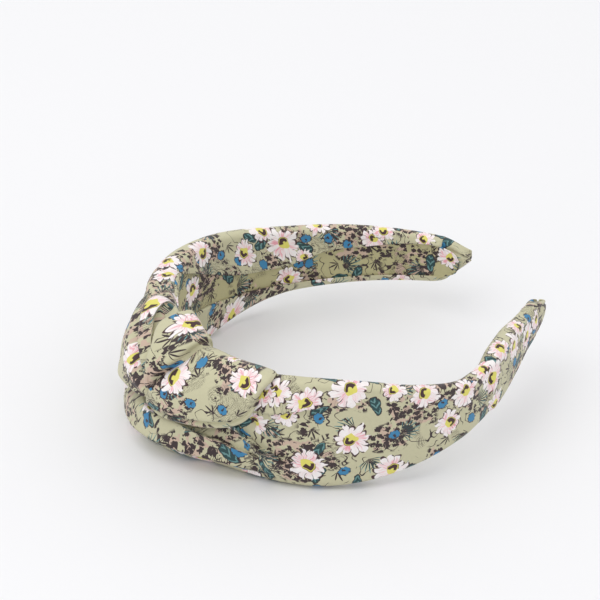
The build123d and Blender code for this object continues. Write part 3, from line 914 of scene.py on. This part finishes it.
# the wrap's lapped pleats: where they lie by how far up, the side on top, and depth by how far up
WRAP_PLEATS = (
    (((0, 0.24), (0.3, 0.25), (0.6, 0.27), (1, 0.28)), -1,
     ((0, 0.6), (0.12, 1.7), (0.3, 2.6), (0.6, 2.6), (0.76, 1.6), (1, 0.2))),
    (((0, 0.47), (0.5, 0.47), (1, 0.48)), 1,
     ((0, 0.3), (0.2, 0.9), (0.45, 1.8), (0.68, 2.2), (0.82, 1.2), (1, 0.2))),
    (((0, 0.65), (0.4, 0.655), (1, 0.66)), 1,
     ((0, 0.6), (0.15, 1.6), (0.5, 2.2), (0.75, 1.6), (0.95, 0.3), (1, 0.0))),
)

FLAP = (
    ((-10, -3.0, 39), (-10, -3.0, 44), (-10, -0.5, 46.0), (-9.2, 2.4, 45.6), (-7.8, 6.6, 41.8),
     (-5.0, 11.6, 36.4), (-3.2, 14.6, 31), (-2.6, 15.4, 25.5), 0.2),
    ((-9.6, -3.6, 39), (-9.6, -3.7, 44.6), (-9.4, -0.6, 46.8), (-8.4, 3.0, 46.6), (-6.6, 7.8, 42.4),
     (-2.9, 13.8, 37.0), (-0.8, 18.6, 31.3), (0.3, 19.6, 24.8), 0.7),
    ((-13, -3.8, 39), (-13, -3.9, 45), (-12.5, -0.6, 47.7), (-11.2, 3.8, 48.2), (-9.6, 9.2, 44.0),
     (-7.0, 15.4, 38.0), (-5.0, 19.6, 31.8), (-4.6, 20.6, 25.4), 1.0),
    ((-17, -3.8, 39), (-17, -3.9, 45), (-16, -0.6, 47.9), (-15, 3.9, 48.6), (-14, 9.4, 45),
     (-13, 14.6, 39), (-12, 18.2, 32.8), (-11.5, 19.4, 27), 1.1),
    ((-22, -3.7, 39), (-22, -3.8, 45), (-21.5, -0.6, 47.8), (-21, 3.8, 48.6), (-20.5, 8.4, 45),
     (-20, 12.6, 39.8), (-19.5, 15.4, 34), (-19, 16.8, 28.4), 1.1),
    ((-27, -3.6, 39), (-27, -3.7, 45), (-27, -0.6, 47.7), (-26.5, 3.7, 48.5), (-26.3, 7.6, 45.3),
     (-26, 11.2, 40.8), (-26, 13.5, 35.8), (-25.8, 14.6, 30.8), 1.0),
    ((-32, -3.5, 39), (-32, -3.6, 45), (-32, -0.6, 47.6), (-31.8, 3.6, 48.4), (-31.2, 7.2, 46.0),
     (-30.8, 10.2, 42.4), (-30.6, 12.0, 38.2), (-30.2, 12.4, 33.6), 0.7),
    ((-35.4, -3.3, 39), (-35.4, -3.4, 44.6), (-36, -0.6, 47.4), (-36.2, 3.8, 48.2), (-35.8, 7.4, 46.9),
     (-34.8, 9.6, 44.4), (-33.8, 10.6, 41.4), (-32.8, 10.6, 37.8), 0.3),
    ((-36.2, -2.9, 40), (-36.2, -2.9, 44), (-37.2, -0.6, 46.6), (-37.6, 3.0, 47.2), (-36.9, 4.9, 46),
     (-35.6, 6.2, 44.2), (-34.4, 6.8, 41.6), (-33.4, 7.0, 38.6), 0.1),
)

UNDER = (
    # turn, height and out where it comes out from above, out at the belly, out at the foot
    (37, 24, 5.5, 8.5, 4.5),
    (30, 22, 8.5, 14.2, 9.5),
    (23, 21, 9.6, 17.0, 12.6),
    (15, 22, 9.4, 18.0, 13.4),
    (8, 25, 8.4, 18.4, 13.2),
    (2, 27, 7.4, 17.6, 12.0),
    (-4, 28, 6.6, 16.2, 10.0),
    (-10, 29, 6.0, 13.8, 6.4),
    (-16, 30, 5.8, 11.0, 3.2),
    (-22, 31, 5.6, 8.6, 1.8),
    (-27, 30, 6.4, 7.4, 1.4),
    (-31, 26, 5.4, 6.0, 1.2),
    (-35, 20.0, 4.6, 4.8, 1.0),
    (-39, 15.4, 3.6, 3.6, 0.9),
    (-44, 11.2, 2.2, 2.4, 0.8),
)
# the under fold's two lapped edges: heights and depths by turn, and 1 where the upper cloth is on top
UNDER_PLEATS = (
    (((-44, 8), (-35, 11), (-26, 14.5), (-16, 17.0), (-8, 18.2), (0, 17.2), (9, 16.8), (20, 16), (37, 15)),
     ((-44, 0.0), (-38, 0.4), (-30, 1.2), (-20, 2.0), (0, 2.4), (14, 2.4), (28, 1.0), (37, 0.2)), -1),
    (((-44, 3), (-35, 5.4), (-26, 7.8), (-16, 10.0), (-8, 10.8), (0, 10.2), (9, 9.4), (20, 9), (37, 8)),
     ((-44, 0.0), (-34, 0.5), (-24, 1.6), (-10, 2.6), (6, 2.4), (20, 1.0), (37, 0.1)), 1),
)


def knot_cloth_map(turn, out, height):
    """Cloth coordinates in mm for a point on the knot: round the crown, and up over its rim."""
    inside = ramp(-out, 1.0, 4.0)
    rise = 1.18 * height + (5.0 - np.minimum(out, 5.0)) + 2.2 * inside * (50.0 - height)
    return np.stack([np.radians(turn) * (CROWN_R + 11.0), rise - 28.0], -1)


def lofted(controls, a, b):
    """Turn, out and height read smoothly off rows of control points."""
    grid = np.array(controls, float)
    rows = smooth_line(grid, a[0] * (len(grid) - 1))
    columns = smooth_line(np.swapaxes(rows, 0, 1), b[:, 0] * (grid.shape[1] - 1))
    return columns[..., 0], columns[..., 1], columns[..., 2]


def lap_over(points, beyond, depth, lap, soft):
    """Raises the cloth along a line and laps it over; beyond is mm from the line, over 0 on top."""
    by_row, by_column = np.gradient(points, axis=0), np.gradient(points, axis=1)
    normal = np.cross(by_column, by_row)
    normal /= np.maximum(np.linalg.norm(normal, axis=-1, keepdims=True), 1e-12)
    centre = place(0.0, 0.0, MIDDLE_Z)
    normal *= np.sign(((points - centre) * normal).sum())
    slide_row, slide_column = np.gradient(beyond)
    towards = by_row * slide_row[..., None] + by_column * slide_column[..., None]
    towards /= np.maximum(np.linalg.norm(towards, axis=-1, keepdims=True), 1e-12)
    proud = beyond > 0.0
    near_side, far_side = np.maximum(beyond, 0.0), np.minimum(beyond, 0.0)
    lift = np.where(proud, np.exp(-near_side / soft), np.exp(far_side / 0.25))
    dip = np.where(proud, 0.0, -0.5 * (1.0 - np.exp(far_side / 0.4)) * np.exp(far_side / 3.5))
    slide = np.where(proud, np.exp(-((near_side / 2.6) ** 2)), np.exp(far_side / 0.25))
    return points + MM * (normal * (depth * (lift + dip))[..., None] - towards * (lap * slide)[..., None])


WRAP_ACROSS = 62.0      # mm across the wrap at its top, narrowing to a quarter at its foot


def wrap_shape(a, b):
    """The pleated loop, from where it comes out of the knot up and over the band's upper edge."""
    turn, out, height = lofted(WRAP, a, b)
    fine = 0.3 * np.sin(a * 75.0 + b * 3.0) * np.exp(-((b - 0.12) / 0.25) ** 2)
    fine = fine + 0.35 * np.sin(a * 58.0) * np.exp(-(((b - 0.72) / 0.12) ** 2))
    out = out + fine + ripple(turn * 2.0, height, 0.18)
    cloth = knot_cloth_map(turn, out, height)
    points = place(turn, out, height)
    for number, (line, upper, deep) in enumerate(WRAP_PLEATS):
        apart = a - steps(b, *line)
        depth = steps(b, *deep)
        beyond = upper * apart * WRAP_ACROSS * (0.25 + 0.75 * b)
        points = lap_over(points, beyond, 0.75 * depth, 0.6 * depth, 4.0)
        crossed = ramp(apart, -0.006, 0.006)
        cloth[..., 0] += 13.0 * crossed
        cloth[..., 1] += 5.0 * number * crossed
    return points, cloth


def flap_shape(a, b):
    """The smooth loop, from inside the band over its upper edge to a turned-under lip."""
    controls = []
    for row in FLAP:
        points, lip = list(row[:-1]), row[-1]
        turn, out, height = points[-1]
        points += [
            (turn, out - 1.9 * lip - 0.4, height - 1.3 * lip - 0.2),
            (turn - 0.4, out - 1.1 * lip - 0.9, height - 3.0 * lip - 0.4),
            (turn - 0.6, out - 2.6 * lip - 1.4, height - 4.2 * lip - 0.2),
            (turn - 0.6, out - 6.0 * lip - 1.4, height - 2.4 * lip + 1.0),
        ]
        controls.append(points)
    turn, out, height = lofted(controls, a, b)
    swell = 0.35 * np.sin(turn * 0.22 + height * 0.1) * ramp(height, 26.0, 34.0)
    out = out + ripple(turn, height, 0.25) + swell
    cloth = knot_cloth_map(turn, out, height)
    cloth[..., 0] += 24.0
    cloth[..., 1] += 131.0 - 6.0 * ramp(b, 0.66, 0.72)
    return place(turn, out, height), cloth


def under_shape(a, b):
    """The layered cloth, from behind the flap out over its belly and in to its foot."""
    controls = []
    for turn, high, start_out, belly, foot in UNDER:
        controls.append((
            (turn, start_out - 3.5, high + 1.5),
            (turn, start_out - 1.0, high + 1.0),
            (turn, start_out, high - 1.2),
            (turn, start_out + 0.05 * (belly - start_out), high * 0.82),
            (turn, start_out + 0.22 * (belly - start_out), high * 0.71),
            (turn, start_out + 0.88 * (belly - start_out), high * 0.60),
            (turn, belly, high * 0.46),
            (turn, belly, high * 0.32),
            (turn, 0.6 * belly + 0.4 * foot + 0.6, high * 0.2),
            (turn, 0.2 * belly + 0.8 * foot + 0.6, 2.2),
            (turn, foot, 0.6),
            (turn, foot - 2.4, 0.45),
            (turn, 1.6, 0.5),
        ))
    turn, out, height = lofted(controls, a, b)
    u = run_along(turn) * (CROWN_R + np.maximum(out, 3.0) * ramp(turn, -40.0, -20.0)) / CROWN_R
    cloth = np.stack([u, (height - MIDDLE_Z) * 1.05], -1)
    for line, deep, upper in UNDER_PLEATS:
        depth = steps(turn, *deep) * ramp(height, 1.5, 5.0)
        heights = steps(turn, *line)
        cloth[..., 1] += 6.0 * ramp(height - heights, -0.3, 0.3)
        out, height = folded(out, height, heights, depth, 0.7 * depth, 4.0, upper)
    out = out + ripple(turn * 1.5, height, 0.2)
    height = np.maximum(height, 0.3)
    return place(turn, out, height), cloth


# ---- settings a user can change ----

class HeadbandSizes(bpy.types.PropertyGroup):
    cloth_thickness: FloatProperty(
        name="Cloth thickness", description="Thickness of one layer of the printed cloth, in mm",
        default=0.45, min=0.2, max=1.0,
    )
    fineness: IntProperty(
        name="Fineness", description="Faces along an arm's cloth", default=210, min=60, max=240,
    )


class HeadbandColours(bpy.types.PropertyGroup):
    ground: FloatVectorProperty(
        name="Ground", description="The cloth's plain ground", subtype="COLOR", size=3,
        min=0.0, max=1.0, default=linear(199, 195, 163)[:3],
    )
    # the printed cloth's ground made darker: painted shade on the inside of the band
    lining: FloatVectorProperty(
        name="Lining", description="The lining's ground, darkened as painted shade", subtype="COLOR", size=3,
        min=0.0, max=1.0, default=linear(186, 180, 138)[:3],
    )
    floor: FloatVectorProperty(
        name="Floor", description="The pale floor", subtype="COLOR", size=3,
        min=0.0, max=1.0, default=linear(238, 238, 240)[:3],
    )


def sheet_on(context, name, grid, shape, spots, fill, material):
    """Makes one sheet of cloth with its print and returns it and its flat area in square metres."""
    piece, points, placed, on_cloth = sheet_grid(name, *grid, shape)
    daisies(piece, placed, on_cloth, spots, fill)
    finish_sheet(piece, context.scene.headband_sizes.cloth_thickness, material)
    return piece, surface_area(points)


BLEND_FROM, BLEND_TO = 31.0, 38.5


def bend_with_arm(piece, side):
    """Bakes the piece's place into its mesh; where the arm would bend beside the knot is worked out, but the
    piece is not bent.
    """
    start = place(side * BLEND_FROM, 0.0, MIDDLE_Z)
    end = place(side * BLEND_TO, 0.0, MIDDLE_Z)
    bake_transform(piece)


NEAR_DAISIES = (
    (-38.7, 6.2, 43.0, 14, 20), (-47.2, 4.8, 40.0, 14, 200), (-31.5, 4.0, 27.5, 13, 90),
    (-41.5, 3.2, 32.5, 12, 150), (-61.5, 3.3, 44.6, 16, 60), (-61.7, 3.3, 23.4, 16, 300),
    (-48.8, 3.6, 12.0, 16, 250), (-74.7, 3.3, 7.3, 15, 100), (-86.3, 3.3, 37.5, 15, 30),
    (-94.8, 3.3, 21.7, 13.5, 160), (-101.9, 3.3, 31.5, 14, 70), (-113.4, 3.3, 28.6, 15, 10),
    (-111.5, 0.5, 37.0, 13, 220), (-119.0, 1.0, 37.0, 13, 130), (-133.3, 3.3, 25.9, 13, 0),
    (-114.6, 3.3, 16.5, 12, 270), (-75.5, 3.3, 43.0, 11, 330), (-34.2, 6.0, 40.5, 13, 120),
    (-124.5, 1.0, 30.5, 13, 40), (-129.5, -1.0, 34.0, 11, 250), (-139.0, 2.0, 27.0, 10, 100),
)
FAR_DAISIES = (
    (64.0, -2.0, 43.6, 15, 40), (86.2, -2.8, 33.6, 14, 110), (102.0, -2.6, 32.5, 17, 250),
    (93.5, 0.0, 38.6, 14, 60), (40.0, 1.0, 47.4, 13, 180), (47.5, 3.0, 46.6, 13, 300),
    (108.6, -3.0, 25.4, 9, 20), (124.9, -3.0, 31.9, 12, 200), (126.6, -1.0, 36.0, 12, 80),
    (135.7, -2.8, 33.2, 10, 150), (112.0, 1.0, 37.2, 12, 10),
)


class HEADBAND_OT_outer_cloth(bpy.types.Operator):
    """Make the outer cloth of both arms, pleated beside the knot and rolled over both edges"""

    bl_idname = "headband.outer_cloth"
    bl_label = "Outer cloth"

    def execute(self, context):
        fineness = context.scene.headband_sizes.fineness
        for side, name, body, spots in (
            (1, "cloth_far_arm", "far", FAR_DAISIES), (-1, "cloth_near_arm", "near", NEAR_DAISIES)
        ):
            fill = scattered((0.0, 182.0), (-46.0, 50.0))
            fill = [(v, side * u, size, angle) for v, u, size, angle in fill]
            piece, area = sheet_on(
                context, name, (fineness, 170), arm_cloth(side), spots, fill,
                band_cloth(),
            )
            bend_with_arm(piece, side)
            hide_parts("cover_" + body)
            if side < 0:
                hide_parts("cover_crown")
        return {"FINISHED"}


class HEADBAND_OT_lining(bpy.types.Operator):
    """Make the lining inside both arms, with its rounded hemmed ends"""

    bl_idname = "headband.lining"
    bl_label = "Lining"

    def execute(self, context):
        far_spots = (
            (57.7, -1.9, 29.4, 15, 70), (105.0, -1.9, 15.4, 13, 180), (142.3, -3.0, 27.2, 12, 300)
        )
        for side, body, spots in ((1, "far", far_spots), (-1, "near", ())):
            fill = scattered((330.0, 500.0), (8.0, 44.0), 13.0) if side < 0 else ()
            fill = [(v, 640.0 - u, size, angle) for v, u, size, angle in fill]
            piece, area = sheet_on(
                context, "lining_cloth_" + body, (190, 56), arm_lining(side), spots, fill,
                lining_cloth(),
            )
            bend_with_arm(piece, side)
            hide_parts("lining_" + body)
            if side < 0:
                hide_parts("lining_crown")
        return {"FINISHED"}


class HEADBAND_OT_end_folds(bpy.types.Operator):
    """Make the cloth folded over both tips"""

    bl_idname = "headband.end_folds"
    bl_label = "End folds"

    def execute(self, context):
        for side, body in ((1, "far"), (-1, "near")):
            fill = scattered((170.0, 200.0), (-26.0, 26.0), 11.0)
            piece, area = sheet_on(
                context, "tip_cloth_" + body, (36, 96), arm_tip(side), (), fill, band_cloth()
            )
            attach(piece, body + "_arm")
            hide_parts("end_fold_" + body)
        return {"FINISHED"}


class HEADBAND_OT_knot_wrap(bpy.types.Operator):
    """Make the pleated loop over the far side of the knot"""

    bl_idname = "headband.knot_wrap"
    bl_label = "Knot wrap"

    def execute(self, context):
        spots = (
            (18.7, 7.5, 48.4, 16, 230), (0.2, 1.5, 51.0, 15, 80), (10.5, 17.5, 34.0, 14, 180),
            (27.0, 17.5, 30.0, 14, 20),
        )
        piece, area = sheet_on(
            context, "knot_wrap_cloth", (210, 120), wrap_shape, spots, (), band_cloth()
        )
        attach(piece, "crown")
        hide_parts("knot_wrap")
        return {"FINISHED"}


class HEADBAND_OT_knot_flap(bpy.types.Operator):
    """Make the broad smooth loop over the near side of the knot"""

    bl_idname = "headband.knot_flap"
    bl_label = "Knot flap"

    def execute(self, context):
        spots = ((-8.6, 15.0, 40.0, 16.5, 330), (-29.3, 8.0, 46.0, 15, 200), (-22.0, 0.0, 50.0, 6, 90))
        piece, area = sheet_on(
            context, "knot_flap_cloth", (130, 130), flap_shape, spots, (), band_cloth()
        )
        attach(piece, "crown")
        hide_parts("knot_flap")
        return {"FINISHED"}


class HEADBAND_OT_knot_under_fold(bpy.types.Operator):
    """Make the layered cloth below the knot's flap and wrap"""

    bl_idname = "headband.knot_under_fold"
    bl_label = "Knot under fold"

    def execute(self, context):
        spots = (
            (-6.0, 13.5, 8.0, 12, 200), (-13.0, 8.0, 4.0, 12, 120), (13.0, 17.0, 6.0, 14, 10),
            (24.0, 17.0, 18.0, 13, 60), (2.0, 17.0, 22.0, 9, 90),
        )
        piece, area = sheet_on(
            context, "knot_under_cloth", (170, 150), under_shape, spots, (), band_cloth()
        )
        bend_with_arm(piece, -1)
        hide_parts("knot_under_fold")
        return {"FINISHED"}


def hoop_strip(side):
    """The hoop's middle surface along one arm: a strip that narrows and ends round inside the tip."""

    def shape(a, b):
        turn = HOOP_FROM + (HOOP_TO - HOOP_FROM) * a
        round_part = np.clip((turn - 137.0) / (HOOP_TO - 137.0), 0.0, 1.0)
        top, bottom = edges(side, turn)
        half = ((top - bottom) / 2.0 - HOOP_EDGE) * (0.15 + 0.85 * np.sqrt(1.0 - round_part ** 2 * 0.999))
        height = (top + bottom) / 2.0 + half * (2.0 * b - 1.0)
        cloth = np.stack([run_along(side * turn), height], -1)
        return place(side * turn, lean(side, turn), height), cloth

    return shape


class HEADBAND_OT_hoop_arms(bpy.types.Operator):
    """Make the hoop's two flexible arms, hidden inside the cloth"""

    bl_idname = "headband.hoop_arms"
    bl_label = "Hoop arms"

    def execute(self, context):
        for side, body in ((1, "far_arm"), (-1, "near_arm")):
            piece = sheet_grid("hoop_strip_" + body, 120, 16, hoop_strip(side))[0]
            finish_sheet(piece, HOOP_THICK, moulded_material())
            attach(piece, body)
            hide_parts("hoop_" + body)
        return {"FINISHED"}


class HEADBAND_OT_frame_finishes(bpy.types.Operator):
    """Give the frame's own hoop and tacks their finishes"""

    bl_idname = "headband.frame_finishes"
    bl_label = "Hoop and tacks"

    def execute(self, context):
        plastic, thread = moulded_material(), thread_material()
        for name, node in frame["nodes"].items():
            if name.startswith("hoop"):
                wear(node, plastic)
            if name == "knot_tacks":
                wear(node, thread)
        return {"FINISHED"}


class HEADBAND_OT_knot_core(bpy.types.Operator):
    """Make the bunched cloth inside the knot"""

    bl_idname = "headband.knot_core"
    bl_label = "Knot core"

    def execute(self, context):
        low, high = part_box("knot_core")
        out_low, out_high = 4.3, 12.6
        half_turn = 14.6

        def shape(a, b):
            along = 2.0 * np.pi * a
            gathers = 1.0 - 0.07 * (1.0 + np.cos(along * 9.0 + 4.0 * b))
            gathers = gathers - 0.04 * (1.0 + np.cos(along * 5.0 - b * 6.0))
            waist = np.sin(np.pi * np.clip(b, 0.004, 0.996)) ** 0.35
            turn = half_turn * np.cos(along) * gathers * waist
            out = (out_low + out_high) / 2.0 + (out_high - out_low) / 2.0 * np.sin(along) * gathers * waist
            height = (low.z + (high.z - low.z) * b) / MM
            cloth = np.stack([a * 52.0 + 700.0, height], -1)
            return place(turn, out, height + 0.0 * a), cloth

        piece, area = sheet_on(
            context, "knot_core_cloth", (110, 60), shape, (), scattered((705.0, 750.0), (12.0, 38.0), 12.0),
            band_cloth(),
        )
        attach(piece, "crown")
        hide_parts("knot_core")
        return {"FINISHED"}


# name, place, width in metres and power in watts
LIGHTS = (("key light", (-0.8, 0.1, 1.7), 1.9, 12.5), ("fill light", (1.2, -0.4, 1.6), 2.2, 3.0))
CAMERA_TURN, CAMERA_LIFT = -31.89, 31.16
CAMERA_AWAY = 1.3
CAMERA_TARGET = (0.00129, 0.02207, 0.03147)
CAMERA_LENS = 199.35


class HEADBAND_OT_stage(bpy.types.Operator):
    """Make the pale floor, the soft light and the camera"""

    bl_idname = "headband.stage"
    bl_label = "Stage"

    def execute(self, context):
        deselect()
        bpy.ops.mesh.primitive_plane_add(size=8.0, location=(0.0, 0.0, 0.0))
        floor = context.object
        floor.name = "floor"
        material, w, shader = fresh_material("pale floor")
        at = w.node("ShaderNodeTexCoord").outputs["Object"]
        grain = w.node("ShaderNodeTexNoise", Vector=at)
        grain.inputs["Scale"].default_value = 3.0
        base = tuple(context.scene.headband_colours.floor) + (1.0,)
        darker = tuple(0.985 * part for part in base[:3]) + (1.0,)
        w.feed(shader.inputs["Base Color"], w.paint(darker, base, grain.outputs["Fac"]))
        shader.inputs["Roughness"].default_value = 0.6
        shader.inputs["Specular IOR Level"].default_value = 0.2
        floor.data.materials.append(material)

        world = bpy.data.worlds.new("soft studio")
        context.scene.world = world
        world.use_nodes = True
        background = world.node_tree.nodes["Background"]
        background.inputs["Color"].default_value = (1.0, 1.0, 1.0, 1.0)
        background.inputs["Strength"].default_value = 0.85
        for name, spot, size, power in LIGHTS:
            light = bpy.data.lights.new(name, "AREA")
            light.size = size
            light.energy = power
            lamp = bpy.data.objects.new(name, light)
            context.collection.objects.link(lamp)
            lamp.location = spot
            aim = -lamp.location
            lamp.rotation_euler = aim.to_track_quat("-Z", "Y").to_euler()

        camera = bpy.data.cameras.new("camera")
        camera.lens = CAMERA_LENS
        camera.sensor_width = 36.0
        camera.clip_end = 20.0
        viewer = bpy.data.objects.new("camera", camera)
        context.collection.objects.link(viewer)
        turn, lift = math.radians(CAMERA_TURN), math.radians(CAMERA_LIFT)
        back = (math.sin(turn) * math.cos(lift), -math.cos(turn) * math.cos(lift), math.sin(lift))
        viewer.location = [spot + CAMERA_AWAY * part for spot, part in zip(CAMERA_TARGET, back)]
        viewer.rotation_euler = (math.pi / 2.0 - lift, 0.0, turn)
        context.scene.camera = viewer
        context.scene.view_settings.view_transform = "Standard"
        return {"FINISHED"}


class HEADBAND_PT_panel(bpy.types.Panel):
    bl_idname = "HEADBAND_PT_panel"
    bl_label = "Knotted headband"
    bl_space_type = "VIEW_3D"
    bl_region_type = "UI"
    bl_category = "Headband"

    def draw(self, context):
        layout = self.layout
        for name in ("cloth_thickness", "fineness"):
            layout.prop(context.scene.headband_sizes, name)
        for name in ("ground", "lining", "floor"):
            layout.prop(context.scene.headband_colours, name)
        for operator in OPERATORS:
            layout.operator(operator.bl_idname)


OPERATORS = (
    HEADBAND_OT_stage, HEADBAND_OT_frame_finishes, HEADBAND_OT_hoop_arms,
    HEADBAND_OT_outer_cloth, HEADBAND_OT_lining,
    HEADBAND_OT_end_folds, HEADBAND_OT_knot_core, HEADBAND_OT_knot_under_fold,
    HEADBAND_OT_knot_wrap, HEADBAND_OT_knot_flap,
)
CLASSES = (HeadbandSizes, HeadbandColours) + OPERATORS + (HEADBAND_PT_panel,)


def register():
    for each in CLASSES:
        bpy.utils.register_class(each)
    bpy.types.Scene.headband_sizes = PointerProperty(type=HeadbandSizes)
    bpy.types.Scene.headband_colours = PointerProperty(type=HeadbandColours)


def unregister():
    del bpy.types.Scene.headband_colours
    del bpy.types.Scene.headband_sizes
    for each in reversed(CLASSES):
        bpy.utils.unregister_class(each)


def main():
    register()
    for operator in OPERATORS:
        getattr(bpy.ops.headband, operator.bl_idname.split(".")[1])()


if __name__ == "__main__":
    main()
